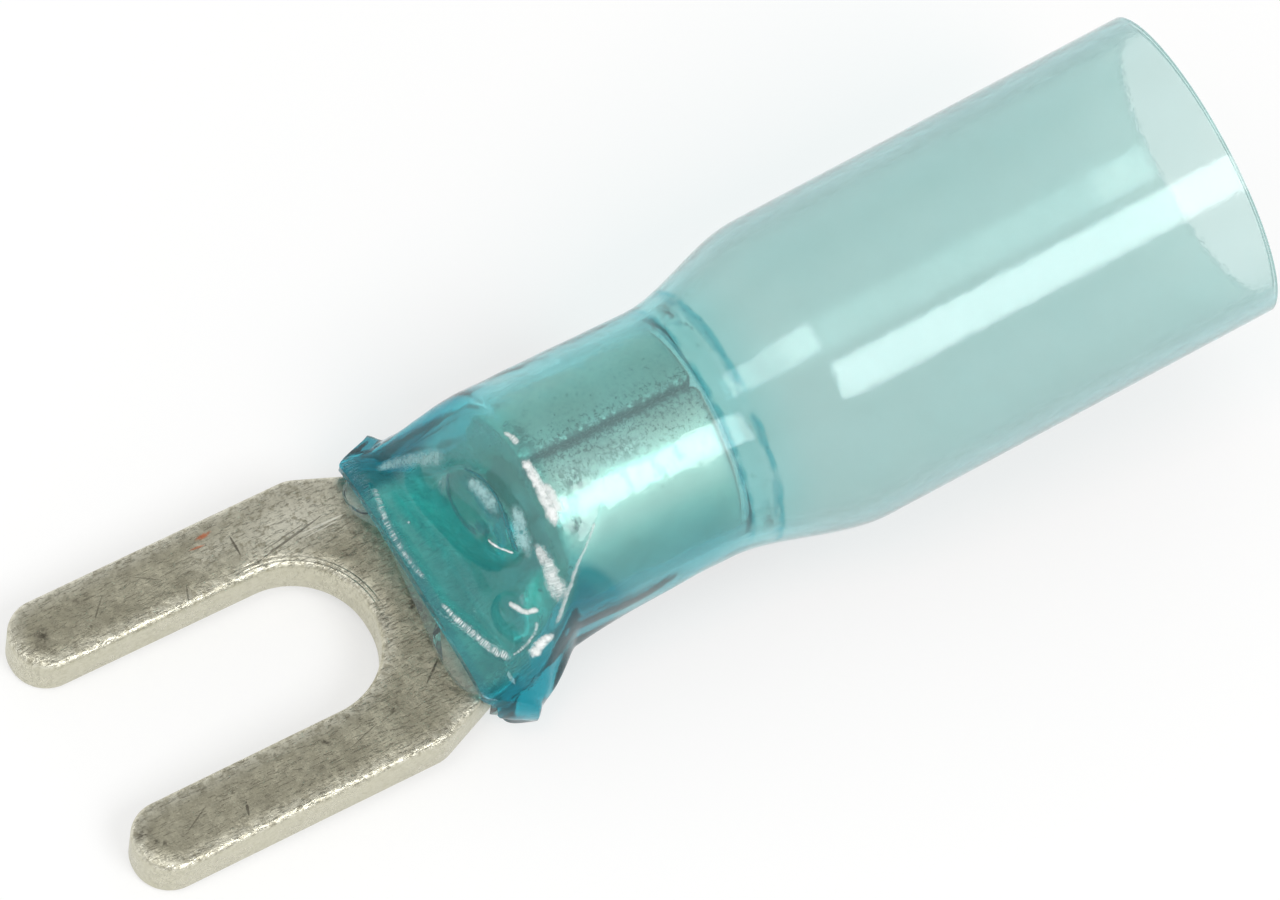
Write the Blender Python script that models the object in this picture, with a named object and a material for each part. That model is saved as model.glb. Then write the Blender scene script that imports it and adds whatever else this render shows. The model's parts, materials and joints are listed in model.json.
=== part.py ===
"""Insulated fork terminal: a tinned copper fork with a rolled crimp barrel, in a
heat-shrink sleeve whose clear adhesive lining has melted round the neck.

Units are metres, +Z up. Each piece is drawn in the tongue's own frame, where
X runs from the tines to the wire mouth, the slot's root arc is centred on X = 0
and the underside of the tongue is Z = 0. One empty then lays the whole terminal
down the way it rests, on the tips of its tines and the belly of its sleeve.
"""

import math

import bmesh
import bpy
import numpy as np
from mathutils import Vector

MM = 0.001

# Stamped sheet
SHEET = 0.95 * MM
STUD_SLOT = 3.15 * MM
SLOT_FLARE = 0.03 * MM
SLOT_DEPTH = 6.3 * MM
TINE_WIDTH = 1.5 * MM
FULL_ROUND = 0.97
SHOULDER_SETBACK = 1.5 * MM
SHOULDER_SLOPE = math.radians(23)
SHOULDER_ROUND = 0.8 * MM
NECK_WIDTH = 4.0 * MM
EDGE_ROUND = 0.12 * MM

# Rolled barrel, with its butt seam on top
BARREL_BORE = 2.15 * MM
BARREL_LENGTH = 3.6 * MM
BARREL_SETBACK = 3.1 * MM
SEAM_GAP = 0.06 * MM
NOTCH_ROUND = 0.3 * MM
FLAP_ROUND = 0.15 * MM
ROLL_LENGTH = 1.5 * MM
ROLL_FACETS = 36
ROLL_STEPS = 9

# Heat-shrink sleeve
TUBE_RADIUS = 3.12 * MM
TUBE_WALL = 0.22 * MM
SHRUNK_WALL = 0.26 * MM
FLARE_LENGTH = 2.9 * MM
FLARE_LEAD = 0.15 * MM
TUBE_LENGTH = 8.3 * MM
TUBE_BEND = math.radians(6.1)
BEND_SETBACK = 0.3 * MM
BEND_LENGTH = 1.8 * MM
LIP_HEIGHT = 0.55 * MM
LIP_REACH = 0.95 * MM
LIP_SETBACK = 0.85 * MM
UNDER_LIP_SHARE = 0.3
LIP_FADE = 1.3 * MM
EAR_SPAN = 3.27 * MM
EAR_FALL = 1.35 * MM
EAR_HEIGHT = 0.5 * MM
RAMP_LENGTH = 0.78 * MM
LIP_BOXINESS = 0.6
BORE_BOXINESS = 0.42
FIN_LENGTH = 2.4 * MM
FIN_RISE = 0.2 * MM
FIN_SHARPNESS = 40

# Hot-melt adhesive lining
LINING_WALL = 0.15 * MM
SHRUNK_LINING = 0.15 * MM
SIDE_FILLET = 0.1 * MM
SIDE_LINING = 0.08 * MM
END_ROLL_HEIGHT = 0.16 * MM
END_ROLL_LENGTH = 0.54 * MM
LINING_TUCK = 0.1 * MM
SHORT_BEAD = (2.0 * MM, 0.45 * MM, 0.2 * MM)
LONG_BEAD = (-1.75 * MM, 0.85 * MM, 0.27 * MM)

CLEARANCE = 0.03 * MM
RING_POINTS = 48

# Sizes that follow from the ones above
FORK_WIDTH = STUD_SLOT + 2 * TINE_WIDTH
SLOT_ROOT = STUD_SLOT / 2
TIP_X = SLOT_ROOT - SLOT_DEPTH
BARREL_RADIUS = BARREL_BORE / 2 + SHEET
NEUTRAL_RADIUS = BARREL_BORE / 2 + SHEET / 2
BARREL_FRONT = SLOT_ROOT + BARREL_SETBACK
BARREL_BACK = BARREL_FRONT + BARREL_LENGTH
ROLL_START = BARREL_FRONT - ROLL_LENGTH
SHRUNK_RADIUS = BARREL_RADIUS + 2 * CLEARANCE + SHRUNK_LINING + SHRUNK_WALL
LIP_X = SLOT_ROOT + LIP_SETBACK
EAR_X = LIP_X + LIP_REACH
RAMP_END = BARREL_FRONT - CLEARANCE
RAMP_START = RAMP_END - RAMP_LENGTH
FIN_END = EAR_X + FIN_LENGTH
FLARE_START = BARREL_BACK - FLARE_LEAD
FLARE_END = FLARE_START + FLARE_LENGTH
MOUTH = FLARE_END + TUBE_LENGTH


def ease(value, start, end, first, last):
    """A smooth step from first to last as value goes from start to end."""
    step = np.clip((value - start) / (end - start), 0.0, 1.0)
    return first + (last - first) * step * step * (3 - 2 * step)


def tongue_half_width(x):
    """Half the width of the flat tongue at x, behind its shoulders."""
    narrowed = FORK_WIDTH / 2 - max(0.0, x - SHOULDER_SETBACK) * math.tan(SHOULDER_SLOPE)
    return max(NECK_WIDTH / 2, narrowed)


LIP_HALF_WIDTH = tongue_half_width(LIP_X) + SIDE_FILLET + SIDE_LINING + CLEARANCE


# Collections and materials


def clear_scene():
    for obj in list(bpy.data.objects):
        bpy.data.objects.remove(obj, do_unlink=True)


def add_collection(name):
    collection = bpy.data.collections.new(name)
    bpy.context.scene.collection.children.link(collection)
    return collection


def principled(name, colour, roughness, metallic, alpha=1.0):
    material = bpy.data.materials.new(name)
    material.use_nodes = True
    shader = material.node_tree.nodes["Principled BSDF"]
    shader.inputs["Base Color"].default_value = (*colour, 1.0)
    shader.inputs["Roughness"].default_value = roughness
    shader.inputs["Metallic"].default_value = metallic
    shader.inputs["Alpha"].default_value = alpha
    return material


def add_object(name, bm, material, collection, parent):
    mesh = bpy.data.meshes.new(name)
    bmesh.ops.recalc_face_normals(bm, faces=bm.faces)
    bm.to_mesh(mesh)
    bm.free()
    mesh.materials.append(material)
    mesh.shade_smooth()
    mesh.set_sharp_from_angle(angle=math.radians(35))
    obj = bpy.data.objects.new(name, mesh)
    collection.objects.link(obj)
    obj.parent = parent
    return obj


# Stamped and rolled sheet


def rounded_outline(corners, segment=math.radians(12)):
    """The closed outline through corners of (x, y, radius), each rounded by an arc."""
    points = []
    for index, (x, y, radius) in enumerate(corners):
        corner = Vector((x, y))
        back = (Vector(corners[index - 1][:2]) - corner).normalized()
        ahead = (Vector(corners[(index + 1) % len(corners)][:2]) - corner).normalized()
        if radius == 0:
            points.append(corner)
            continue
        half = back.angle(ahead) / 2
        centre = corner + (back + ahead).normalized() * (radius / math.sin(half))
        start = corner + back * (radius / math.tan(half)) - centre
        sweep = start.angle_signed(corner + ahead * (radius / math.tan(half)) - centre)
        steps = max(2, math.ceil(abs(sweep) / segment))
        for step in range(steps + 1):
            turn = -sweep * step / steps
            turned = Vector((
                start.x * math.cos(turn) - start.y * math.sin(turn),
                start.x * math.sin(turn) + start.y * math.cos(turn),
            ))
            points.append(centre + turned)
    return points


def blank_corners():
    """The flat blank's outline as corners, down one side and back up the other."""
    mouth = STUD_SLOT / 2 + SLOT_FLARE
    tine_end = mouth + TINE_WIDTH
    neck_x = SHOULDER_SETBACK + (FORK_WIDTH - NECK_WIDTH) / 2 / math.tan(SHOULDER_SLOPE)
    flap = math.pi * NEUTRAL_RADIUS - SEAM_GAP / 2
    side = [
        (SLOT_ROOT, STUD_SLOT / 2, FULL_ROUND * STUD_SLOT / 2),
        (TIP_X, mouth, FULL_ROUND * TINE_WIDTH / 2),
        (TIP_X, tine_end, FULL_ROUND * TINE_WIDTH / 2),
        (SHOULDER_SETBACK, FORK_WIDTH / 2, SHOULDER_ROUND),
        (neck_x, NECK_WIDTH / 2, SHOULDER_ROUND / 2),
        (BARREL_FRONT, NECK_WIDTH / 2, NOTCH_ROUND),
        (BARREL_FRONT, flap, FLAP_ROUND),
        (BARREL_BACK, flap, FLAP_ROUND),
    ]
    return side + [(x, -y, radius) for x, y, radius in reversed(side)]


def stamp_blank():
    """The flat blank, pressed out of sheet with its edges rounded over."""
    bm = bmesh.new()
    outline = [bm.verts.new((point.x, point.y, 0.0)) for point in rounded_outline(blank_corners())]
    lower = bm.faces.new(outline)
    grown = bmesh.ops.extrude_face_region(bm, geom=[lower])["geom"]
    raised = [item for item in grown if isinstance(item, bmesh.types.BMVert)]
    bmesh.ops.translate(bm, verts=raised, vec=(0.0, 0.0, SHEET))
    bmesh.ops.recalc_face_normals(bm, faces=bm.faces)
    rims = [edge for edge in bm.edges if abs(edge.verts[0].co.z - edge.verts[1].co.z) < SHEET / 2]
    bmesh.ops.bevel(
        bm, geom=rims, offset=EDGE_ROUND, offset_type="OFFSET", segments=2, profile=0.5, affect="EDGES"
    )
    return bm


def score(bm, point, normal, behind):
    """Cuts a line across the faces that lie behind the given x."""
    faces = [face for face in bm.faces if face.calc_center_median().x > behind]
    parts = set(faces)
    for face in faces:
        parts.update(face.edges)
        parts.update(face.verts)
    bmesh.ops.bisect_plane(bm, geom=list(parts), plane_co=point, plane_no=normal, dist=1e-7)


def roll_sheet(bm):
    """Rolls the blank behind the tongue up into the barrel, about a line above it."""
    everywhere = TIP_X - SHEET
    tine_ends = 0.0
    for x in (tine_ends, *np.linspace(ROLL_START, BARREL_FRONT, ROLL_STEPS + 1)):
        score(bm, (x, 0.0, 0.0), (1.0, 0.0, 0.0), everywhere)
    around = math.tau * NEUTRAL_RADIUS
    for facet in range(1, ROLL_FACETS):
        y = around * (facet / ROLL_FACETS - 0.5)
        score(bm, (0.0, y, 0.0), (0.0, 1.0, 0.0), ROLL_START)
    for vert in bm.verts:
        bend = ease(vert.co.x, ROLL_START, BARREL_FRONT, 0.0, 1.0 / NEUTRAL_RADIUS)
        if bend * NEUTRAL_RADIUS < 1e-4:
            continue
        axis_height = SHEET / 2 + 1 / bend
        radius = axis_height - vert.co.z
        angle = vert.co.y * bend
        vert.co.y = radius * math.sin(angle)
        vert.co.z = axis_height - radius * math.cos(angle)


def make_fork_terminal(collection, parent):
    bm = stamp_blank()
    roll_sheet(bm)
    tin = principled("tinned_copper", (0.62, 0.60, 0.52), 0.36, 1.0)
    return add_object("fork_terminal", bm, tin, collection, parent)


# Sleeve and lining, lofted along one spine


def spine(run):
    """The sleeve's centre line: the point at this x along it, and its upward tilt."""
    height = BARREL_RADIUS
    start = BARREL_BACK + BEND_SETBACK
    if run <= start:
        return run, height, 0.0
    bend_radius = BEND_LENGTH / TUBE_BEND
    tilt = min(TUBE_BEND, (run - start) / bend_radius)
    x = start + bend_radius * math.sin(tilt)
    z = height + bend_radius * (1 - math.cos(tilt))
    rest = max(0.0, run - start - BEND_LENGTH)
    return x + rest * math.cos(tilt), z + rest * math.sin(tilt), tilt


def body_radius(run):
    """The sleeve's outer radius over the barrel, the flare and the open tube."""
    return ease(run, FLARE_START, FLARE_END, SHRUNK_RADIUS, TUBE_RADIUS)


def on_ramp(run, first, last):
    """A size that climbs from the flat tongue to the barrel's front rim."""
    return ease(run, RAMP_START, RAMP_END, first, last)


def wall_at(run):
    """The sleeve's wall, which thickens where the tube has shrunk."""
    return ease(run, FLARE_START, FLARE_END, SHRUNK_WALL, TUBE_WALL)


def sleeve_section(run):
    """The sleeve's outer section: half width, fin, centre height, top, bottom, boxiness."""
    radius = body_radius(run)
    half_width = ease(run, EAR_X, RAMP_END, LIP_HALF_WIDTH + TUBE_WALL, radius)
    reach = SHRUNK_RADIUS + (EAR_SPAN - SHRUNK_RADIUS) * math.exp(-max(0.0, run - EAR_X) / EAR_FALL)
    fin = max(0.0, reach - half_width) * ease(run, FIN_END, FLARE_START, 1.0, 0.0)
    centre = on_ramp(run, EAR_HEIGHT, BARREL_RADIUS)
    top = on_ramp(run, SHEET + LIP_HEIGHT, BARREL_RADIUS + radius)
    bottom = on_ramp(run, -(SHRUNK_LINING + SHRUNK_WALL + 2 * CLEARANCE), BARREL_RADIUS - radius)
    return half_width, fin, centre, top, bottom, on_ramp(run, LIP_BOXINESS, 1.0)


def sleeve_bore(run, gap=0.0):
    """The sleeve's inner section, or with a gap the outer face of the lining in it."""
    wall = wall_at(run) + gap
    half_width, _, centre, top, bottom, _ = sleeve_section(run)
    half_width = ease(run, EAR_X, RAMP_END, LIP_HALF_WIDTH - gap, half_width - wall)
    return half_width, 0.0, centre, top - wall, bottom + wall, on_ramp(run, BORE_BOXINESS, 1.0)


def lining_bore(run):
    """The lining's inner section: it hugs the tongue, then the barrel, then lines the tube."""
    metal = BARREL_RADIUS + CLEARANCE
    lined = body_radius(run) - wall_at(run) - CLEARANCE - LINING_WALL
    radius = max(metal, lined)
    roll = (run - BARREL_BACK - CLEARANCE) / END_ROLL_LENGTH
    if 0.0 < roll < 1.0:
        radius -= END_ROLL_HEIGHT * math.sin(math.pi * roll) ** 0.5
    flat = tongue_half_width(LIP_X) + SIDE_FILLET
    half_width = ease(run, EAR_X, RAMP_END, flat, radius)
    centre = on_ramp(run, SHEET / 2, BARREL_RADIUS)
    top = on_ramp(run, SHEET + SIDE_FILLET, BARREL_RADIUS + radius)
    bottom = on_ramp(run, -CLEARANCE, BARREL_RADIUS - radius)
    return half_width, 0.0, centre, top, bottom, on_ramp(run, BORE_BOXINESS / 2, 1.0)


def lip_offset(run, y, rise):
    """How far the flat lip reaches forward of the ears beside it, less under the tongue."""
    reach = LIP_REACH * ease(abs(y), tongue_half_width(LIP_X), EAR_SPAN, 1.0, 0.0)
    reach *= ease(rise, -1.0, 0.0, UNDER_LIP_SHARE, 1.0)
    return -reach * ease(run, EAR_X, EAR_X + LIP_FADE, 1.0, 0.0)


def crest_angle(run):
    """How far below the section's middle its fins stand out."""
    middle = on_ramp(run, EAR_HEIGHT, BARREL_RADIUS)
    crest = EAR_HEIGHT + ease(run, EAR_X, FIN_END, 0.0, FIN_RISE)
    drop = math.asin(max(0.0, middle - crest) / SHRUNK_RADIUS)
    return -drop * ease(run, FIN_END, FLARE_START, 1.0, 0.0)


def ring(run, section, front=None):
    """The points of one section, set square to the spine and swept forward at the lip."""
    half_width, fin, centre, top, bottom, boxiness = section
    x, z, tilt = spine(run)
    crest = crest_angle(run) if fin else 0.0
    points = []
    for index in range(RING_POINTS):
        around = math.tau * index / RING_POINTS
        sideways = math.cos(around)
        angle = around + crest * sideways * abs(sideways)
        side = math.copysign(abs(math.cos(angle)) ** boxiness, math.cos(angle))
        rise = math.copysign(abs(math.sin(angle)) ** boxiness, math.sin(angle))
        pinch = abs(sideways) ** FIN_SHARPNESS
        y = half_width * side + math.copysign(fin * pinch, side)
        up = centre - BARREL_RADIUS + rise * ((top - centre) if rise > 0 else (centre - bottom))
        along = lip_offset(run, y, rise)
        if front is not None:
            along += front(y, rise)
        points.append((
            x + along * math.cos(tilt) - up * math.sin(tilt),
            y,
            z + along * math.sin(tilt) + up * math.cos(tilt),
        ))
    return points


def loft_shell(outer_rings, inner_rings):
    """A tube with a wall: two lofts joined by a ring of faces at each end."""
    bm = bmesh.new()
    loop = [[bm.verts.new(point) for point in points] for points in outer_rings]
    loop += [[bm.verts.new(point) for point in points] for points in reversed(inner_rings)]
    for index, ring_verts in enumerate(loop):
        following = loop[(index + 1) % len(loop)]
        for point in range(RING_POINTS):
            beside = (point + 1) % RING_POINTS
            bm.faces.new((ring_verts[point], ring_verts[beside], following[beside], following[point]))
    return bm


def stations():
    """Where sections are drawn: close together where the sleeve changes shape."""
    neck = np.linspace(EAR_X, RAMP_END, 11)
    barrel = np.linspace(RAMP_END, FLARE_START, 5)[1:]
    roll = BARREL_BACK + CLEARANCE + END_ROLL_LENGTH * np.array([0.0, 0.06, 0.5, 0.94, 1.0])
    flare = np.linspace(FLARE_START, FLARE_END, 10)[1:]
    tube = np.linspace(FLARE_END, MOUTH, 3)[1:]
    return np.unique(np.concatenate([neck, barrel, roll, flare, tube]))


def make_sleeve(collection, parent):
    runs = stations()
    outer = [ring(run, sleeve_section(run)) for run in runs]
    inner = [ring(run, sleeve_bore(run)) for run in runs]
    blue = principled("blue_sleeve", (0.16, 0.62, 0.68), 0.14, 0.0, alpha=0.55)
    return add_object("heat_shrink_sleeve", loft_shell(outer, inner), blue, collection, parent)


def squeeze_out(y, rise):
    """The lining's front edge: tucked behind the lip, but bulging out in two beads on top."""
    edge = LINING_TUCK
    if rise > 0:
        for middle, half_length, reach in (SHORT_BEAD, LONG_BEAD):
            away = min(1.0, abs(y - middle) / half_length)
            edge -= (reach + LINING_TUCK) * (1 - away**4)
    return edge


def make_lining(collection, parent):
    runs = stations()
    outer = []
    inner = []
    for run in runs:
        front = squeeze_out if run == runs[0] else None
        outer.append(ring(run, sleeve_bore(run, CLEARANCE), front))
        inner.append(ring(run, lining_bore(run), front))
    clear = principled("clear_adhesive", (0.86, 0.90, 0.88), 0.10, 0.0, alpha=0.4)
    return add_object("adhesive_lining", loft_shell(outer, inner), clear, collection, parent)


# Laying the terminal down


def lay_down(rest, pieces):
    """Tilts and lifts the terminal onto the tips of its tines and the belly of its sleeve."""
    points = np.array([vert.co for piece in pieces for vert in piece.data.vertices])
    belly = points[points[:, 0] > BARREL_BACK]
    tilt = np.arctan2(-belly[:, 2], belly[:, 0] - (TIP_X + EDGE_ROUND)).max()
    rest.rotation_euler = (0.0, -tilt, 0.0)
    turned = points @ np.array(rest.rotation_euler.to_matrix()).T
    low = turned.min(axis=0)
    high = turned.max(axis=0)
    rest.location = (-(low[0] + high[0]) / 2, -(low[1] + high[1]) / 2, -low[2])


def main():
    clear_scene()
    parts = add_collection("fork_terminal_parts")
    rest = bpy.data.objects.new("rest_frame", None)
    parts.objects.link(rest)
    pieces = [
        make_fork_terminal(parts, rest),
        make_sleeve(parts, rest),
        make_lining(parts, rest),
    ]
    lay_down(rest, pieces)


main()
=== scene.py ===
import json
import math

import bmesh
import bpy
import numpy as np
from mathutils import Matrix, Vector
from mathutils.bvhtree import BVHTree

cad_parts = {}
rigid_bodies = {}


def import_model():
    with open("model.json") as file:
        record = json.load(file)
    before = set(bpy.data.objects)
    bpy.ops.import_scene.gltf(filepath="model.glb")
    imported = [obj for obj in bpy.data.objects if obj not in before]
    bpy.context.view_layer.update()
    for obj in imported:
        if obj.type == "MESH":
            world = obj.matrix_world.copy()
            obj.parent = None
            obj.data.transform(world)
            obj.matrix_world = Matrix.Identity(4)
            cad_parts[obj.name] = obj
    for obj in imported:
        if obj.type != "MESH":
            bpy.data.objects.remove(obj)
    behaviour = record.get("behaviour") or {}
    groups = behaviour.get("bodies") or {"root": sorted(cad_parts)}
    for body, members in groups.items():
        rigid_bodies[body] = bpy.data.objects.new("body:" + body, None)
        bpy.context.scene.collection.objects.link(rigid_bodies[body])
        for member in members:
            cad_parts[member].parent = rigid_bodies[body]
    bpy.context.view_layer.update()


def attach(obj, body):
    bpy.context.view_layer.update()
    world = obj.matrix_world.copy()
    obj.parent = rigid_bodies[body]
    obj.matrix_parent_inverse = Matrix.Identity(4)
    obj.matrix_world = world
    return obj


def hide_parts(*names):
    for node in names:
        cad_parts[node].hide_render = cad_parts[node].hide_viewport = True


for startup_object in list(bpy.data.objects):
    bpy.data.objects.remove(startup_object, do_unlink=True)
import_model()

# Fork terminal: one piece of tin-plated copper sheet, stamped to a fork with an
# open stud slot and rolled behind the neck into a crimp barrel with a butt seam.
# The tin is dull and handled: grey scuffs, scratches and grime in the hollows.
MM = 0.001
REST_TILT = math.radians(-3.3881808)
REST_SHIFT = Vector((-7.402109, 0.0, 0.286558)) * MM
LAID_DOWN = (
    Matrix.Translation(REST_SHIFT) @ Matrix.Rotation(REST_TILT, 4, "Y") @ Matrix.Scale(MM, 4)
)

SHEET = 0.95
STUD_SLOT = 3.15
SLOT_FLARE = 0.03
SLOT_DEPTH = 6.3
TINE_WIDTH = 1.5
FULL_ROUND = 0.97
SHOULDER_SETBACK = 1.5
SHOULDER_SLOPE = math.radians(23)
SHOULDER_ROUND = 0.8
NECK_WIDTH = 4.0
EDGE_ROUND = 0.12
BARREL_BORE = 2.15
BARREL_LENGTH = 3.6
BARREL_SETBACK = 3.1
SEAM_GAP = 0.06
NOTCH_ROUND = 0.3
FLAP_ROUND = 0.15
ROLL_LENGTH = 1.5
CUT_STEP = 0.2
CUTS_AROUND = 61

FORK_WIDTH = STUD_SLOT + 2 * TINE_WIDTH
SLOT_ROOT = STUD_SLOT / 2
TIP_X = SLOT_ROOT - SLOT_DEPTH
BARREL_RADIUS = BARREL_BORE / 2 + SHEET
NEUTRAL_RADIUS = BARREL_BORE / 2 + SHEET / 2
BARREL_FRONT = SLOT_ROOT + BARREL_SETBACK
BARREL_BACK = BARREL_FRONT + BARREL_LENGTH
ROLL_START = BARREL_FRONT - ROLL_LENGTH


def rounded_outline(corners, segment=math.radians(4)):
    points = []
    for index, (x, y, radius) in enumerate(corners):
        corner = Vector((x, y))
        back = (Vector(corners[index - 1][:2]) - corner).normalized()
        ahead = (Vector(corners[(index + 1) % len(corners)][:2]) - corner).normalized()
        half = back.angle(ahead) / 2
        centre = corner + (back + ahead).normalized() * (radius / math.sin(half))
        start = corner + back * (radius / math.tan(half)) - centre
        sweep = start.angle_signed(corner + ahead * (radius / math.tan(half)) - centre)
        steps = max(2, math.ceil(abs(sweep) / segment))
        for step in range(steps + 1):
            turn = -sweep * step / steps
            points.append(centre + Vector((
                start.x * math.cos(turn) - start.y * math.sin(turn),
                start.x * math.sin(turn) + start.y * math.cos(turn),
            )))
    return points


slot_mouth = STUD_SLOT / 2 + SLOT_FLARE
neck_x = SHOULDER_SETBACK + (FORK_WIDTH - NECK_WIDTH) / 2 / math.tan(SHOULDER_SLOPE)
flap_edge = math.pi * NEUTRAL_RADIUS - SEAM_GAP / 2
blank_side = [
    (SLOT_ROOT, STUD_SLOT / 2, FULL_ROUND * STUD_SLOT / 2),
    (TIP_X, slot_mouth, FULL_ROUND * TINE_WIDTH / 2),
    (TIP_X, slot_mouth + TINE_WIDTH, FULL_ROUND * TINE_WIDTH / 2),
    (SHOULDER_SETBACK, FORK_WIDTH / 2, SHOULDER_ROUND),
    (neck_x, NECK_WIDTH / 2, SHOULDER_ROUND / 2),
    (BARREL_FRONT, NECK_WIDTH / 2, NOTCH_ROUND),
    (BARREL_FRONT, flap_edge, FLAP_ROUND),
    (BARREL_BACK, flap_edge, FLAP_ROUND),
]
outline = rounded_outline(blank_side + [(x, -y, r) for x, y, r in reversed(blank_side)])

bm = bmesh.new()
blank_face = bm.faces.new([bm.verts.new((p.x, p.y, 0.0)) for p in outline])
raised = bmesh.ops.extrude_face_region(bm, geom=[blank_face])["geom"]
raised = [item for item in raised if isinstance(item, bmesh.types.BMVert)]
bmesh.ops.translate(bm, verts=raised, vec=(0.0, 0.0, SHEET))
bmesh.ops.recalc_face_normals(bm, faces=bm.faces)
rims = [edge for edge in bm.edges if abs(edge.verts[0].co.z - edge.verts[1].co.z) < SHEET / 2]
bmesh.ops.bevel(
    bm, geom=rims, offset=EDGE_ROUND, offset_type="OFFSET", segments=5, profile=0.5, affect="EDGES"
)
half_around = math.pi * NEUTRAL_RADIUS
stations = np.arange(TIP_X + CUT_STEP, BARREL_BACK - CUT_STEP / 2, CUT_STEP)
cuts = [((x, 0, 0), (1, 0, 0)) for x in stations]
cuts += [((0, y, 0), (0, 1, 0)) for y in np.linspace(-half_around, half_around, CUTS_AROUND)[1:-1]]
for point, normal in cuts:
    geometry = bm.verts[:] + bm.edges[:] + bm.faces[:]
    bmesh.ops.bisect_plane(bm, geom=geometry, plane_co=point, plane_no=normal, dist=1e-4)

# The unrolled place of each point, and its distance from the cut edge, steer the finish.
blank_places = np.array([vert.co for vert in bm.verts])
edge_from = np.array([(p.x, p.y) for p in outline])
edge_to = np.roll(edge_from, -1, axis=0)
edge_run = edge_to - edge_from
reach = blank_places[:, None, :2] - edge_from
share = np.clip((reach * edge_run).sum(2) / np.maximum((edge_run**2).sum(1), 1e-12), 0, 1)
rim_distance = np.linalg.norm(reach - share[..., None] * edge_run, axis=2).min(axis=1)

for vert in bm.verts:
    step = min(1.0, max(0.0, (vert.co.x - ROLL_START) / ROLL_LENGTH))
    bend = step * step * (3 - 2 * step) / NEUTRAL_RADIUS
    if bend * NEUTRAL_RADIUS < 1e-4:
        continue
    axis_height = SHEET / 2 + 1 / bend
    radius = axis_height - vert.co.z
    angle = vert.co.y * bend
    vert.co.y = radius * math.sin(angle)
    vert.co.z = axis_height - radius * math.cos(angle)

fork_mesh = bpy.data.meshes.new("tinned_fork")
bm.to_mesh(fork_mesh)
bm.free()
fork_mesh.transform(LAID_DOWN)
fork_mesh.attributes.new("blank_place", "FLOAT_VECTOR", "POINT").data.foreach_set(
    "vector", blank_places.astype(np.float32).ravel()
)
fork_mesh.attributes.new("rim_distance", "FLOAT", "POINT").data.foreach_set(
    "value", rim_distance.astype(np.float32)
)
fork_mesh.shade_smooth()
fork_mesh.set_sharp_from_angle(angle=math.radians(35))
tinned_fork = bpy.data.objects.new("tinned_fork", fork_mesh)
bpy.context.scene.collection.objects.link(tinned_fork)


class Nodes:
    """A short hand for laying nodes in one tree and joining them up."""

    def __init__(self, tree):
        self.tree = tree

    def add(self, kind, *inputs, output=0, **settings):
        node = self.tree.nodes.new(kind)
        for name, value in settings.items():
            setattr(node, name, value)
        for place, value in enumerate(inputs):
            self.feed(node, place, value)
        return node.outputs[output]

    def feed(self, node, place, value):
        if value is None:
            return
        if isinstance(value, bpy.types.NodeSocket):
            self.tree.links.new(value, node.inputs[place])
        else:
            node.inputs[place].default_value = value

    def math(self, operation, *values, clamp=False):
        return self.add("ShaderNodeMath", *values, operation=operation, use_clamp=clamp)

    def vector(self, operation, *values, output=0):
        return self.add("ShaderNodeVectorMath", *values, operation=operation, output=output)

    def step(self, value, start, end, first=0.0, last=1.0):
        node = self.tree.nodes.new("ShaderNodeMapRange")
        node.interpolation_type = "SMOOTHSTEP"
        for place, given in enumerate((value, start, end, first, last)):
            self.feed(node, place, given)
        return node.outputs[0]

    def noise(self, place, scale, detail=4.0, rough=0.6, stretch=(1.0, 1.0, 1.0), turn=0.0):
        mapped = self.add("ShaderNodeMapping", place, None, (0.0, 0.0, turn), stretch)
        node = self.tree.nodes.new("ShaderNodeTexNoise")
        for name, value in (("Scale", scale), ("Detail", detail), ("Roughness", rough)):
            node.inputs[name].default_value = value
        self.tree.links.new(mapped, node.inputs["Vector"])
        return node.outputs["Fac"]

    def times(self, first, *others):
        for other in others:
            first = self.math("MULTIPLY", first, other)
        return first

    def plus(self, first, *others):
        for other in others:
            first = self.math("ADD", first, other)
        return first

    def most(self, first, *others):
        for other in others:
            first = self.math("MAXIMUM", first, other)
        return first

    def minus(self, first, second):
        return self.math("SUBTRACT", first, second)

    def mottle(self, *inputs):
        """A mask of soft clouds or fine grain, from the group that all the materials share."""
        return self.add("ShaderNodeGroup", *inputs, node_tree=mottle)

    def blend(self, share, first, second):
        node = self.tree.nodes.new("ShaderNodeMix")
        node.data_type = "RGBA"
        for place, given in ((0, share), (6, first), (7, second)):
            self.feed(node, place, given)
        return node.outputs[2]

    def paint(self, under, mask, strength, colour):
        """The colour under it, painted over with this one where the mask is."""
        return self.blend(self.times(mask, strength), under, (*colour, 1.0))

    def spot(self, place, middle, size, turn=0.0, clear=0.2):
        """A spot of 1 in the middle that fades from this share of its size to 0 at its rim."""
        shifted = self.vector("SUBTRACT", place, (*middle, 0.0))
        turned = self.add("ShaderNodeVectorRotate", shifted, None, (0.0, 0.0, 1.0), turn)
        flat = self.vector("MULTIPLY", turned, (1 / size[0], 1 / size[1], 0.0))
        return self.step(self.vector("LENGTH", flat, output=1), 1.0, clear)


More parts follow.
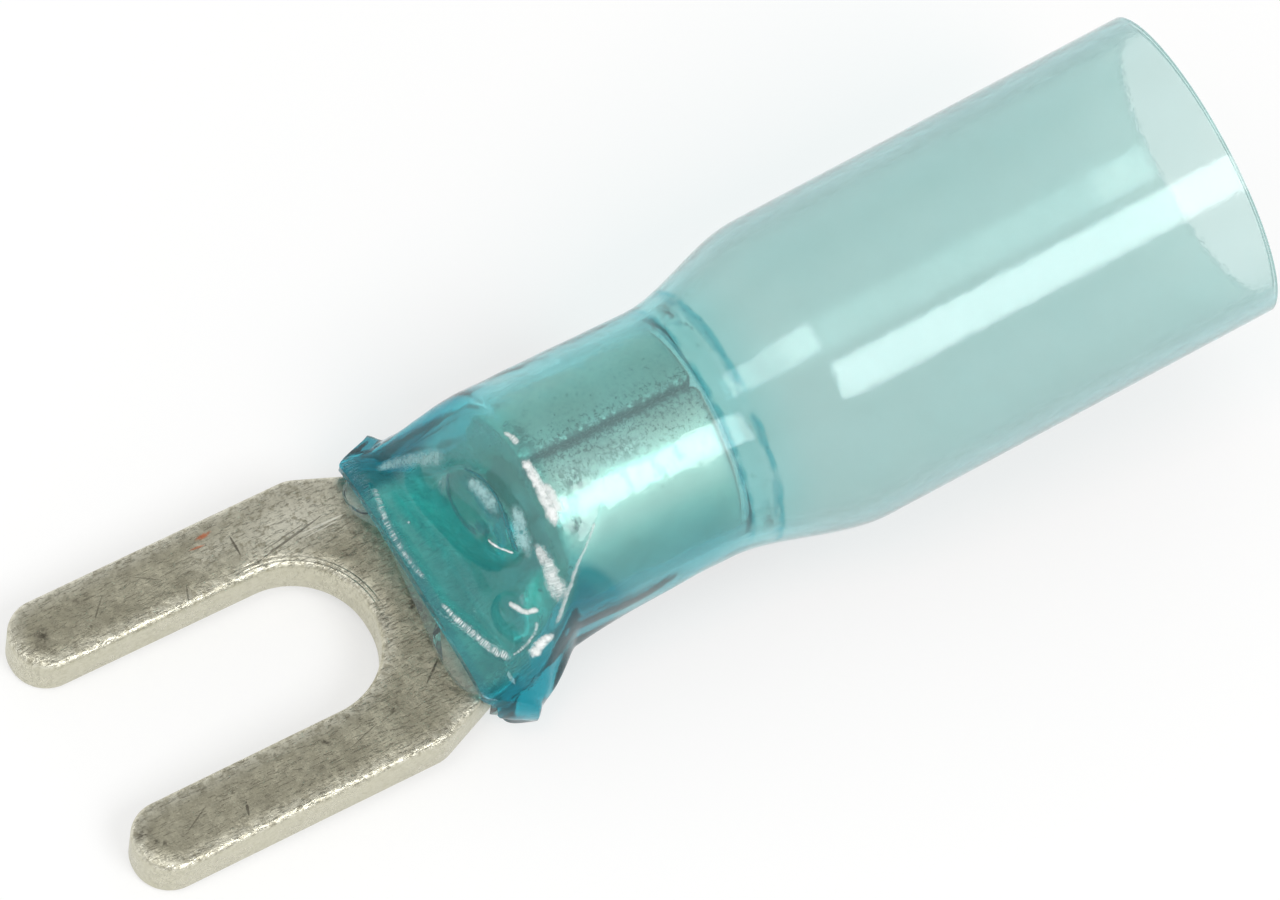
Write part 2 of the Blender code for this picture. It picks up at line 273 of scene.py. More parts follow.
mottle = bpy.data.node_groups.new("mottle", "ShaderNodeTree")
mottle.interface.new_socket(name="Place", in_out="INPUT", socket_type="NodeSocketVector")
for title in ("Scale", "Detail", "Coarseness", "Low", "High"):
    mottle.interface.new_socket(name=title, in_out="INPUT", socket_type="NodeSocketFloat")
mottle.interface.new_socket(name="Mask", in_out="OUTPUT", socket_type="NodeSocketFloat")
n = Nodes(mottle)
place, scale, detail, coarseness, low, high = mottle.nodes.new("NodeGroupInput").outputs[:6]
clouds = n.add("ShaderNodeTexNoise", place, None, scale, detail, coarseness)
mottle.links.new(n.step(clouds, low, high), mottle.nodes.new("NodeGroupOutput").inputs[0])


def new_material(name, settings):
    """A Principled material with these settings, a short hand for its nodes, and its shader."""
    material = bpy.data.materials.new(name)
    material.use_nodes = True
    shader = material.node_tree.nodes["Principled BSDF"]
    for title, value in settings.items():
        shader.inputs[title].default_value = value
    return material, Nodes(material.node_tree), shader


def join(nodes, value, shader, name):
    nodes.tree.links.new(value, shader.inputs[name])


def add_bump(nodes, height, shader, strength=1.0, distance=MM):
    bump_node = nodes.tree.nodes.new("ShaderNodeBump")
    bump_node.inputs["Strength"].default_value = strength
    bump_node.inputs["Distance"].default_value = distance
    nodes.tree.links.new(height, bump_node.inputs["Height"])
    join(nodes, bump_node.outputs["Normal"], shader, "Normal")


tin, n, shader = new_material("tinned_copper", {"Metallic": 1.0})
blank = n.add("ShaderNodeAttribute", attribute_name="blank_place", output=1)
rim = n.add("ShaderNodeAttribute", attribute_name="rim_distance", output=2)
blank_x = n.add("ShaderNodeSeparateXYZ", blank)
blank_y = blank_x.node.outputs[1]
cloud = n.mottle(blank, 1.1, 5.0, 0.62, 0.35, 0.68)
grain = n.noise(blank, 9.0, 4.0, 0.65)
fine_grain = n.noise(blank, 34.0, 3.0, 0.6)
smear = n.mottle(blank, 3.2, 6.0, 0.7, 0.47, 0.60)
scratch_one = n.noise(blank, 4.6, 5.0, 0.7, (1.0, 6.5, 1.0), 0.55)
scratch_two = n.noise(blank, 5.2, 5.0, 0.7, (1.0, 7.5, 1.0), -0.35)
scratches = n.most(n.step(scratch_one, 0.575, 0.62), n.step(scratch_two, 0.585, 0.63))


def marked(marks, clear=0.75):
    """The strongest of soft strokes, each with its middle, half sizes, turn and strength."""
    return n.most(*(
        n.times(n.spot(blank, middle, size, -turn, clear), strength)
        for middle, size, turn, strength in marks
    ))


SMUDGES = (
    ((-4.10, 2.33), (0.36, 0.20), -1.84, 1.0),
    ((-4.20, 2.05), (0.40, 0.12), -1.00, 0.8),
    ((-3.08, 2.67), (0.33, 0.12), -0.03, 0.7),
    ((-3.25, 2.05), (0.22, 0.10), 0.34, 0.8),
    ((-0.91, 1.70), (0.24, 0.13), 0.11, 0.6),
    ((0.20, 1.79), (0.15, 0.10), -0.48, 0.9),
    ((2.06, 1.49), (0.16, 0.10), -1.22, 0.8),
    ((1.74, 1.15), (0.20, 0.09), -1.25, 0.7),
    ((1.66, -0.41), (0.33, 0.14), -1.51, 0.8),
    ((0.98, -2.01), (0.36, 0.085), -2.51, 1.0),
    ((-0.54, -2.04), (0.20, 0.08), -0.89, 1.0),
    ((-0.87, -2.47), (0.52, 0.16), -0.08, 0.6),
    ((-1.45, -1.91), (0.28, 0.10), 0.09, 0.6),
    ((-2.53, -2.06), (0.34, 0.14), 0.02, 0.7),
    ((-4.46, -2.12), (0.30, 0.16), 0.17, 1.0),
    ((-4.24, -2.42), (0.40, 0.13), -0.81, 1.0),
    ((1.76, -1.16), (0.15, 0.07), 0.02, 0.8),
    ((-3.57, 1.42), (0.39, 0.08), 2.78, 0.5),
    ((-2.32, 1.42), (0.28, 0.08), 0.09, 0.5),
)
STRAIGHT_SCRATCHES = (
    ((-0.02, 2.29), (0.26, 0.026), -1.59, 0.9),
    ((0.95, 1.94), (0.90, 0.028), 0.19, 0.8),
    ((0.85, 2.02), (0.55, 0.020), 0.16, 0.6),
    ((1.97, -1.69), (0.34, 0.024), -2.48, 0.9),
    ((-2.48, -2.56), (0.17, 0.030), -1.89, 0.9),
    ((-2.90, 2.35), (0.30, 0.018), 0.80, 0.6),
    ((-1.80, 2.45), (0.34, 0.018), -0.60, 0.5),
    ((-1.30, 1.80), (0.22, 0.020), 1.20, 0.6),
    ((-3.40, -2.30), (0.36, 0.018), 0.50, 0.6),
    ((0.20, -2.25), (0.40, 0.018), 0.30, 0.6),
)
FRONT_SMEARS = (
    ((4.94, -3.76), (0.42, 0.20), 0.3, 1.0),
    ((4.88, 3.70), (0.30, 0.24), 0.0, 1.0),
    ((4.85, 4.55), (0.25, 0.55), 0.0, 0.9),
    ((5.30, -4.35), (0.60, 0.35), 0.2, 0.9),
    ((6.30, -4.45), (0.90, 0.30), 0.1, 0.7),
)
LIP_GRIME = (((2.36, -0.46), (0.24, 0.44), 0.0, 1.0),)
# Painted sheen: lighter bare-tin spots on the upper tine stand in for the top lamp's reflection.
PAINTED_SHEEN = (((1.1, 2.2), (2.0, 1.0), 0.0, 1.0), ((-0.3, 2.4), (1.2, 0.5), 0.2, 0.6))
BRIGHT_SCRATCHES = (
    ((1.64, 1.92), (0.51, 0.024), -0.01, 1.0),
    ((1.60, 1.84), (0.40, 0.016), 0.03, 0.8),
)
COPPER_SHOWS = (
    ((-0.45, 2.74), (0.22, 0.07), 0.1, 1.0),
    ((-0.67, 2.58), (0.20, 0.035), -0.1, 0.8),
)
COINED_OFFSETS = (0.15, 0.24)
BARE_TIN = (0.80, 0.78, 0.66)

broken = n.mottle(blank, 8.5, 6.0, 0.75, 0.42, 0.56)
lip_grime = n.step(n.noise(blank, 5.0, 6.0, 0.75), 0.40, 0.54)
lip_grime = n.times(marked(LIP_GRIME, 0.0), lip_grime, 1.8)
grime = n.math("MAXIMUM", n.times(marked(SMUDGES, 0.0), broken), lip_grime, clamp=True)
straight = n.times(marked(STRAIGHT_SCRATCHES), n.step(grain, 0.30, 0.48))
# Under the sleeve, flux and grime lie in the barrel's seam and in a speckled band beside it.
along_barrel = n.step(blank_x, BARREL_FRONT - 0.2, BARREL_FRONT + 0.3)
from_seam = n.minus(half_around, n.math("ABSOLUTE", blank_y))
band_width = n.plus(n.times(n.math("LESS_THAN", blank_y, 0.0), 0.35), 0.42)
near_seam = n.math("SUBTRACT", 1.0, n.math("DIVIDE", from_seam, band_width), clamp=True)
speckle = n.plus(n.noise(blank, 12.0, 8.0, 0.9), n.times(near_seam, 0.10))
side_speckle = n.mottle(blank, 9.0, 8.0, 0.9, 0.56, 0.61)
side_speckle = n.times(side_speckle, n.step(from_seam, 1.5, 0.4, 0.0, 0.75))
speckle = n.most(n.step(speckle, 0.57, 0.615), side_speckle)
in_seam = n.times(n.step(from_seam, 0.14, 0.07), n.step(grain, 0.38, 0.56, 0.25, 1.0))
seam_grime = n.most(n.times(speckle, n.step(from_seam, 1.6, 0.9)), in_seam)
seam_grime = n.most(seam_grime, n.times(marked(FRONT_SMEARS, 0.0), broken))
seam_grime = n.times(along_barrel, seam_grime)
grime = n.most(grime, n.times(seam_grime, 0.8))

on_wall = n.step(rim, 0.03, 0.0)
near_edge = n.step(rim, 0.42, 0.04)
flat_top = n.minus(1.0, n.step(rim, 0.10, 0.02))
edge_share = n.times(near_edge, n.step(grain, 0.30, 0.62))
painted_sheen = n.times(marked(PAINTED_SHEEN, 0.0), n.step(grain, 0.34, 0.52))
copper = n.step(n.noise(blank, 9.0, 4.0, 0.7, (1.0, 3.0, 1.0), 0.4), 0.40, 0.52)
tone = n.blend(cloud, (0.46, 0.435, 0.325, 1.0), (0.60, 0.575, 0.445, 1.0))
tone = n.paint(tone, n.step(grain, 0.62, 0.40), 0.32, (0.30, 0.28, 0.22))
tone = n.paint(tone, n.step(fine_grain, 0.58, 0.40), 0.20, (0.26, 0.24, 0.18))
tone = n.paint(tone, n.times(smear, flat_top), 0.22, (0.25, 0.23, 0.175))
tone = n.paint(tone, edge_share, 0.8, BARE_TIN)
# Painted reflection of the top lamp, laid on as bare tin.
tone = n.paint(tone, painted_sheen, 0.95, BARE_TIN)
tone = n.paint(tone, on_wall, 0.8, (0.62, 0.60, 0.47))
tone = n.paint(tone, n.times(scratches, flat_top), 0.60, (0.19, 0.17, 0.13))
tone = n.paint(tone, grime, 0.85, (0.085, 0.078, 0.06))
tone = n.paint(tone, straight, 0.8, (0.10, 0.09, 0.07))
tone = n.paint(tone, marked(BRIGHT_SCRATCHES), 1.0, (0.85, 0.83, 0.72))
tone = n.paint(tone, along_barrel, 0.7, (0.93, 0.92, 0.83))
tone = n.paint(tone, seam_grime, 0.92, (0.030, 0.034, 0.028))
tone = n.paint(tone, n.times(marked(COPPER_SHOWS, 0.3), copper), 0.9, (0.66, 0.22, 0.11))
join(n, tone, shader, "Base Color")
rough = n.plus(n.times(cloud, 0.10), n.times(grain, 0.14), 0.27, n.times(grime, 0.3))
rough = n.math("SUBTRACT", rough, n.times(edge_share, 0.12), clamp=True)
rough = n.math("ADD", rough, n.times(along_barrel, 0.05), clamp=True)
join(n, rough, shader, "Roughness")

# The press leaves two coined lines round the slot's root and pulls the edges down.
slot_round = n.vector("LENGTH", n.vector("MULTIPLY", blank, (1.0, 1.0, 0.0)), output=1)
coined_lines = n.most(*(
    n.step(n.math("ABSOLUTE", n.minus(slot_round, SLOT_ROOT + offset)), 0.03, 0.0)
    for offset in COINED_OFFSETS
))
coined_lines = n.times(coined_lines, n.step(blank_x, -0.3, 0.3), n.step(blank_y, -0.3, 0.5))
edge_grain = n.plus(n.times(n.step(rim, 0.22, 0.0), 0.006), 0.003)
relief = n.plus(
    n.times(n.step(rim, 0.0, 0.42), 0.055),
    n.times(coined_lines, -0.016),
    n.times(grain, 0.013),
    n.times(fine_grain, edge_grain),
    n.times(cloud, 0.010),
    n.times(n.plus(scratches, straight), -0.006),
)
add_bump(n, n.times(relief, n.step(along_barrel, 0.0, 1.0, 1.0, 0.08)), shader)
fork_mesh.materials.append(tin)
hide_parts("fork_terminal")
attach(tinned_fork, "root")

# Heat-shrink sleeve: a length of clear blue polyolefin tube, open and round where
# the wire goes in, shrunk hard onto the barrel and pinched flat over the neck, where
# its spare width stands out as an ear and a fin on each side.
TUBE_RADIUS = 3.12
TUBE_WALL = 0.22
SHRUNK_WALL = 0.26
FLARE_LENGTH = 2.9
FLARE_LEAD = 0.15
TUBE_LENGTH = 8.3
TUBE_BEND = math.radians(6.1)
BEND_SETBACK = 0.3
BEND_LENGTH = 1.8
LIP_HEIGHT = 0.55
LIP_REACH = 0.95
LIP_SETBACK = 0.85
UNDER_LIP_SHARE = 0.3
LIP_FADE = 1.3
EAR_SPAN = 3.27
EAR_FALL = 1.35
EAR_HEIGHT = 0.5
RAMP_LENGTH = 0.78
LIP_BOXINESS = 0.6
BORE_BOXINESS = 0.42
FIN_LENGTH = 2.4
FIN_RISE = 0.2
FIN_SHARPNESS = 40
LINING_WALL = 0.15
SHRUNK_LINING = 0.15
SIDE_FILLET = 0.1
SIDE_LINING = 0.08
CLEARANCE = 0.03

SHRUNK_RADIUS = BARREL_RADIUS + 2 * CLEARANCE + SHRUNK_LINING + SHRUNK_WALL
LIP_X = SLOT_ROOT + LIP_SETBACK
EAR_X = LIP_X + LIP_REACH
RAMP_END = BARREL_FRONT - CLEARANCE
RAMP_START = RAMP_END - RAMP_LENGTH
FIN_END = EAR_X + FIN_LENGTH
FLARE_START = BARREL_BACK - FLARE_LEAD
FLARE_END = FLARE_START + FLARE_LENGTH
BEND_START = BARREL_BACK + BEND_SETBACK
MOUTH = FLARE_END + TUBE_LENGTH
SHOULDER_START = RAMP_START - 0.08
SHOULDER_END = RAMP_END + 0.06
LIP_TONGUE = FORK_WIDTH / 2 - max(0.0, LIP_X - SHOULDER_SETBACK) * math.tan(SHOULDER_SLOPE)
LIP_HALF_WIDTH = LIP_TONGUE + SIDE_FILLET + SIDE_LINING + CLEARANCE

SHELL_SIZES = {
    "First section": EAR_X,
    "Mouth": MOUTH,
    "Flare start": FLARE_START,
    "Flare end": FLARE_END,
    "Shrunk radius": SHRUNK_RADIUS,
    "Tube radius": TUBE_RADIUS,
    "Lip height": LIP_HEIGHT,
    "Ear span": EAR_SPAN,
}


class Field:
    """A value of a geometry tree that can be added, multiplied and so on like a number."""

    tree = None
    sizes = {}

    def __init__(self, socket):
        self.socket = socket

    @staticmethod
    def made(kind, *values, output=0, **settings):
        node = Field.tree.nodes.new(kind)
        for name, value in settings.items():
            setattr(node, name, value)
        for place, value in enumerate(values):
            if isinstance(value, Field):
                Field.tree.links.new(value.socket, node.inputs[place])
            elif value is not None:
                node.inputs[place].default_value = value
        return Field(node.outputs[output])

    def math(self, operation, *others):
        return Field.made("ShaderNodeMath", self, *others, operation=operation)

    def __add__(self, other):
        return self.math("ADD", other)

    def __mul__(self, other):
        return self.math("MULTIPLY", other)

    def __sub__(self, other):
        return self.math("SUBTRACT", other)

    def __truediv__(self, other):
        return self.math("DIVIDE", other)

    def __pow__(self, other):
        return self.math("POWER", other)

    def __rsub__(self, other):
        return self * -1.0 + other

    def at_least(self, low):
        return self.math("MAXIMUM", low)

    __radd__ = __add__
    __rmul__ = __mul__


def ease(*inputs):
    """A smooth step: value, start and end, and what it is before and after them."""
    return Field.made("ShaderNodeMapRange", *inputs, interpolation_type="SMOOTHSTEP")


def spine(run):
    bend_radius = BEND_LENGTH / TUBE_BEND
    tilt = ((run - BEND_START) / bend_radius).at_least(0.0).math("MINIMUM", TUBE_BEND)
    rest = (run - BEND_START - BEND_LENGTH).at_least(0.0)
    level, steep = tilt.math("COSINE"), tilt.math("SINE")
    x = run.math("MINIMUM", BEND_START) + steep * bend_radius + rest * level
    z = (1.0 - level) * bend_radius + rest * steep + BARREL_RADIUS
    return x, z, tilt


def on_ramp(run, first, last):
    return ease(run, RAMP_START, RAMP_END, first, last)


def body_radius(run):
    return ease(
        run,
        Field.sizes["Flare start"],
        Field.sizes["Flare end"],
        Field.sizes["Shrunk radius"],
        Field.sizes["Tube radius"],
    )


def wall_at(run):
    return ease(run, FLARE_START, FLARE_END, SHRUNK_WALL, TUBE_WALL)


def sleeve_section(run):
    radius = body_radius(run)
    half_width = ease(run, EAR_X, RAMP_END, LIP_HALF_WIDTH + TUBE_WALL, radius)
    reach = ((run - EAR_X).at_least(0.0) * (-1 / EAR_FALL)).math("EXPONENT")
    reach = reach * (Field.sizes["Ear span"] - SHRUNK_RADIUS) + SHRUNK_RADIUS
    fin = (reach - half_width).at_least(0.0) * ease(run, FIN_END, FLARE_START, 1.0, 0.0)
    centre = on_ramp(run, EAR_HEIGHT, BARREL_RADIUS)
    top = on_ramp(run, Field.sizes["Lip height"] + SHEET, radius + BARREL_RADIUS)
    bottom = on_ramp(run, -(SHRUNK_LINING + SHRUNK_WALL + 2 * CLEARANCE), BARREL_RADIUS - radius)
    return half_width, fin, centre, top, bottom, on_ramp(run, LIP_BOXINESS, 1.0)


def sleeve_outside(run):
    """The sleeve's outer face, which is drawn in a round shoulder over the barrel's front rim."""
    half_width, fin, centre, top, bottom, boxiness = sleeve_section(run)
    left = (1.0 - (run - SHOULDER_START) / (SHOULDER_END - SHOULDER_START)).at_least(0.0)
    climb = (1.0 - left.math("MINIMUM", 1.0) ** 2.6) ** 2.2
    low = Field.sizes["Lip height"] + SHEET
    shoulder = low + (body_radius(run) + BARREL_RADIUS - low) * climb
    return half_width, fin, centre, top.math("MAXIMUM", shoulder), bottom, boxiness


def sleeve_bore(run, gap=0.0):
    wall = wall_at(run) + gap
    half_width, _, centre, top, bottom, _ = sleeve_section(run)
    half_width = ease(run, EAR_X, RAMP_END, LIP_HALF_WIDTH - gap, half_width - wall)
    return half_width, None, centre, top - wall, bottom + wall, on_ramp(run, BORE_BOXINESS, 1.0)


def ring_point(run, around, section, front=None):
    """The place, in millimetres, of the point at this angle round this section."""
    half_width, fin, centre, top, bottom, boxiness = section
    x, z, tilt = spine(run)
    sideways = around.math("COSINE")
    angle = around
    if fin is not None:
        crest = ease(run, EAR_X, FIN_END, 0.0, FIN_RISE) + EAR_HEIGHT
        low = (on_ramp(run, EAR_HEIGHT, BARREL_RADIUS) - crest).at_least(0.0)
        drop = (low / SHRUNK_RADIUS).math("ARCSINE") * ease(run, FIN_END, FLARE_START, -1.0, 0.0)
        angle = around + drop * sideways * sideways.math("ABSOLUTE")
    cosine = angle.math("COSINE")
    sine = angle.math("SINE")
    side = cosine.math("SIGN") * cosine.math("ABSOLUTE") ** boxiness
    rise = sine.math("SIGN") * sine.math("ABSOLUTE") ** boxiness
    y = half_width * side
    if fin is not None:
        y = y + fin * sideways.math("ABSOLUTE") ** FIN_SHARPNESS * side.math("SIGN")
    up = rise.at_least(0.0) * (top - centre) + rise.math("MINIMUM", 0.0) * (centre - bottom)
    up = up + centre - BARREL_RADIUS
    reach = ease(y.math("ABSOLUTE"), LIP_TONGUE, EAR_SPAN, LIP_REACH, 0.0)
    reach = reach * ease(rise, -1.0, 0.0, UNDER_LIP_SHARE, 1.0)
    along = reach * ease(run, EAR_X, EAR_X + LIP_FADE, -1.0, 0.0)
    if front is not None:
        along = along + front(run, y, rise)
    level, steep = tilt.math("COSINE"), tilt.math("SINE")
    return x + along * level - up * steep, y, z + along * steep + up * level


def bump(value, middle, half_width):
    """A smooth swelling of 1 at the middle that has almost gone at twice its half width."""
    away = (value - middle) / half_width
    return (away * away * -1.0).math("EXPONENT")


def blister(first, second, cap=0.5):
    """A swelling with a crisp rim: 1 in the middle, 0 from a distance of 1 outwards."""
    return (1.0 - first * first - second * second).at_least(0.0) ** cap


# The skin over the neck, in the tongue's frame: a ridge and a valley across the slope, a
# crease that runs down to the low fin, and round lumps, each given by its middle (y, z),
# its half sizes, how sharp its rim is and its height.
RIDGE_X, RIDGE_TURN, RIDGE_SLANT, RIDGE_HEIGHT = 2.60, -0.8, 0.42, 0.075
VALLEY_X, VALLEY_SLANT, VALLEY_DEPTH = 3.42, 0.17, 0.13
CREASE_X, CREASE_Y, CREASE_SLOPE, CREASE_HEIGHT = 5.23, -1.58, 1.35, 0.05
LENS_MIDDLE, LENS_SIZE, LENS_HEIGHT = (0.02, 2.72), (1.05, 0.62), 0.20
ROUND_LUMPS = (
    ((-0.86, 3.15), (0.42, 0.52), 0.7, 0.13),
    ((1.25, 2.15), (0.5, 0.45), 0.8, 0.08),
    ((-1.85, 2.0), (0.5, 0.36), 0.7, 0.14),
)


def within(value, fade_in, full, full_end, fade_out):
    """1 between the two inner values, eased to 0 at the two outer ones."""
    return ease(value, fade_in, full, 0.0, 1.0) * ease(value, full_end, fade_out, 1.0, 0.0)


def neck_lumps(run, point):
    """What the heat gun and the melted lining did to the skin over the neck, in millimetres."""
    x, y, z = point
    above = ease(z, 0.9, 1.25, 0.0, 1.0)
    ridge_line = (y * -1.0 + RIDGE_TURN).at_least(0.0) * RIDGE_SLANT + RIDGE_X
    ridge = bump(x, ridge_line, 0.11) * within(y, -2.75, -2.35, 2.0, 2.4) * RIDGE_HEIGHT
    valley = bump(x, y * -VALLEY_SLANT + VALLEY_X, 0.2) * bump(y, 0.1, 1.5) * VALLEY_DEPTH
    swelling = bump(x, y * -0.2 + 3.05, 0.2) * bump(y, 0.2, 1.5) * 0.03
    upward = ridge - valley + swelling

    sideways, upwards = y - LENS_MIDDLE[0], z - LENS_MIDDLE[1]
    along_lens = (sideways * 0.9 + upwards * -0.35) / LENS_SIZE[0]
    across_lens = (upwards * 0.9 + sideways * 0.35) / LENS_SIZE[1]
    forward = blister(along_lens, across_lens) * LENS_HEIGHT
    for middle, size, cap, height in ROUND_LUMPS:
        lump = blister((y - middle[0]) / size[0], (z - middle[1]) / size[1], cap)
        forward = forward + lump * height
    fold = bump(y + z * 0.38, 0.36, 0.07) * ease(z, 3.0, 3.7, 0.0, 1.0)
    fold = fold * ease(x, 4.9, 4.5, 0.0, 1.0) * 0.05
    forward = (forward + fold) * ease(x, 4.75, 4.35, 0.0, 1.0) * above

    crease = bump(x, (y - CREASE_Y) * CREASE_SLOPE + CREASE_X, 0.10)
    crease = crease * within(y, -2.55, -2.35, -1.6, -1.35) * CREASE_HEIGHT * above
    skin = Field.made("ShaderNodeCombineXYZ", x, y, z)
    ripple = Field.made("ShaderNodeTexNoise", skin, None, 1.3, 2.0, 0.5) - 0.5
    ripple = ripple * ease(run, BARREL_FRONT + 0.2, BARREL_BACK, 0.10, 0.035)
    ripple = ripple * within(run, EAR_X, EAR_X + 0.3, FLARE_START, FLARE_END)
    lift = (upward + ripple) * above
    return (
        x - forward * 0.88,
        y - crease * 0.6,
        z + lift + forward * 0.45 + crease * 0.7,
    )


def shell_tree(name, outer, inner, material, front=None, lumps=None):
    """A closed shell as one grid that runs out along the outer face and back along the bore."""
    tree = bpy.data.node_groups.new(name, "GeometryNodeTree")
    for title in ("Rings", "Points round", *SHELL_SIZES):
        kind = "NodeSocketFloat" if title in SHELL_SIZES else "NodeSocketInt"
        tree.interface.new_socket(name=title, in_out="INPUT", socket_type=kind)
    tree.interface.new_socket(name="Geometry", in_out="OUTPUT", socket_type="NodeSocketGeometry")
    Field.tree = tree
    given = {socket.name: Field(socket) for socket in tree.nodes.new("NodeGroupInput").outputs}
    Field.sizes = given
    ring_count, point_count = given["Rings"], given["Points round"]
    grid = Field.made("GeometryNodeMeshGrid", 1.0, 1.0, ring_count * 2.0 + 1.0, point_count + 1.0)
    index = Field.made("GeometryNodeInputIndex")
    column = (index / (point_count + 1.0)).math("FLOOR")
    around = (index - column * (point_count + 1.0)) / point_count * math.tau
    column = column.math("MODULO", ring_count * 2.0)
    outside = column.math("LESS_THAN", ring_count - 0.5)
    station = column * outside + (ring_count * 2.0 - 1.0 - column) * (1.0 - outside)
    run = station / (ring_count - 1.0)
    # Sections stand closer together over the neck than along the open tube.
    run = run * 0.22 + run * run * 0.78
    run = given["First section"] + (given["Mouth"] - given["First section"]) * run
    over = ring_point(run, around, outer(run), front)
    under = ring_point(run, around, inner(run), front)
    if lumps is not None:
        over = lumps(run, over)
    mixed = [under[axis] + (over[axis] - under[axis]) * outside for axis in range(3)]
    place = Field.made("ShaderNodeCombineXYZ", *mixed)
    moved = Field.made("GeometryNodeSetPosition", grid, None, place)
    closed = Field.made("GeometryNodeMergeByDistance", moved, None, 0.0001)
    laid = Field.made(
        "GeometryNodeTransform", closed, tuple(REST_SHIFT), (0.0, REST_TILT, 0.0), (MM, MM, MM)
    )
    if "Mode" in laid.socket.node.inputs:
        laid.socket.node.inputs["Mode"].default_value = "Components"
    realized = Field.made("GeometryNodeRealizeInstances", laid)
    painted = Field.made("GeometryNodeSetMaterial", realized)
    painted.socket.node.inputs["Material"].default_value = material
    output = tree.nodes.new("NodeGroupOutput")
    tree.links.new(painted.socket, output.inputs[0])
    return tree


def turn_faces_out(mesh):
    bm = bmesh.new()
    bm.from_mesh(mesh)
    bmesh.ops.recalc_face_normals(bm, faces=bm.faces)
    bm.to_mesh(mesh)
    bm.free()


def grown(name, tree, sizes, sharp=35.0, on=None):
    """The mesh that a geometry tree makes at these sizes, as a plain object with its faces out."""
    start = bpy.data.meshes.new(name + "_seed") if on is None else on.copy()
    seed = bpy.data.objects.new(name + "_seed", start)
    bpy.context.scene.collection.objects.link(seed)
    shape = seed.modifiers.new("shape", "NODES")
    shape.node_group = tree
    for socket in tree.interface.items_tree:
        if socket.in_out == "INPUT" and socket.name in sizes:
            shape[socket.identifier] = sizes[socket.name]
    graph = bpy.context.evaluated_depsgraph_get()
    mesh = bpy.data.meshes.new_from_object(seed.evaluated_get(graph))
    seed.modifiers.remove(shape)
    bpy.data.objects.remove(seed)
    turn_faces_out(mesh)
    mesh.name = name
    mesh.shade_smooth()
    mesh.set_sharp_from_angle(angle=math.radians(sharp))
    obj = bpy.data.objects.new(name, mesh)
    bpy.context.scene.collection.objects.link(obj)
    return obj


def let_lamps_through(nodes, shader, tint):
    """Glass that throws a tinted shadow, so that the metal inside it is lit."""
    clear = nodes.add("ShaderNodeBsdfTransparent", tint)
    shadow = nodes.tree.nodes.new("ShaderNodeLightPath").outputs["Is Shadow Ray"]
    mixed = nodes.add("ShaderNodeMixShader", shadow, shader.outputs[0], clear)
    nodes.tree.links.new(mixed, nodes.tree.nodes["Material Output"].inputs["Surface"])


def tongue_place(nodes):
    """The place in millimetres in the flat tongue's own frame, from the object's coordinates."""
    lifted = nodes.vector("SUBTRACT", nodes.add("ShaderNodeTexCoord", output=3), tuple(REST_SHIFT))
    level = nodes.add("ShaderNodeVectorRotate", lifted, None, (0.0, 1.0, 0.0), -REST_TILT)
    return nodes.vector("MULTIPLY", level, (1 / MM, 1 / MM, 1 / MM))


def line_mask(nodes, value, middle, half_width):
    """1 on a line through a field, 0 from its half width outwards."""
    away = nodes.math("ABSOLUTE", nodes.math("SUBTRACT", value, middle))
    return nodes.step(away, half_width, half_width * 0.15)


# Over the neck the skin is deep blue, over the barrel paler, and in the open tube clear.
sleeve_blue, n, shader = new_material("blue_sleeve", {"Transmission Weight": 0.92, "IOR": 1.45})
place = tongue_place(n)
x = n.add("ShaderNodeSeparateXYZ", place)
y, z = x.node.outputs[1], x.node.outputs[2]
opened = n.step(x, BARREL_BACK - 0.1, BARREL_BACK + 1.6)
on_barrel = n.step(x, RAMP_START, RAMP_START + 1.3)
tint = n.blend(on_barrel, (0.36, 0.97, 0.98, 1.0), (0.75, 0.97, 0.95, 1.0))
tint = n.paint(tint, opened, 1.0, (1.0, 0.96, 0.93))
tint = n.paint(tint, n.mottle(place, 0.9, 3.0, 0.5, 0.40, 0.62), 0.04, (0.55, 0.80, 0.80))
# The flattened walls of the fins lie double, and the valley behind the lip is thick. Painted shade
# darkens the shrunk skin's sides and its upper shoulder, where they are seen edge-on.
aside = n.math("ABSOLUTE", y)
shrunk = n.step(x, BARREL_BACK + 0.5, BARREL_BACK - 0.9)
# Painted shade on the sides of the shrunk skin.
tint = n.paint(tint, n.times(n.step(aside, 1.75, 2.45), shrunk), 0.75, (0.26, 0.66, 0.70))
crease_y = n.plus(n.math("DIVIDE", n.minus(CREASE_X, x), CREASE_SLOPE), 1.60)
crease_y = n.most(crease_y, n.step(x, 4.7, 5.6, 2.0, 2.4))
low_fin = n.times(n.step(n.minus(n.times(y, -1.0), crease_y), 0.0, 0.16), n.step(x, 6.1, 5.5))
# Painted shade on the upper shoulder, which is no fin, joined to the fins' deep blue.
upper_shoulder_shade = n.times(n.step(y, 1.75, 2.10), n.step(x, 5.4, 4.5))
fin_and_edge_shade = n.most(n.step(aside, 2.45, 2.7), low_fin, upper_shoulder_shade)
fin_and_edge_shade = n.times(fin_and_edge_shade, n.step(x, BARREL_BACK - 1.2, BARREL_BACK - 2.4))
tint = n.paint(tint, fin_and_edge_shade, 0.95, (0.005, 0.45, 0.54))
valley = line_mask(n, n.plus(x, n.times(y, VALLEY_SLANT)), VALLEY_X, 0.36)
tint = n.paint(tint, n.times(valley, n.step(aside, 2.1, 1.4)), 0.7, (0.09, 1.0, 1.0))
tint = n.paint(tint, n.step(x, 2.68, 2.52), 0.5, (0.16, 0.58, 0.72))
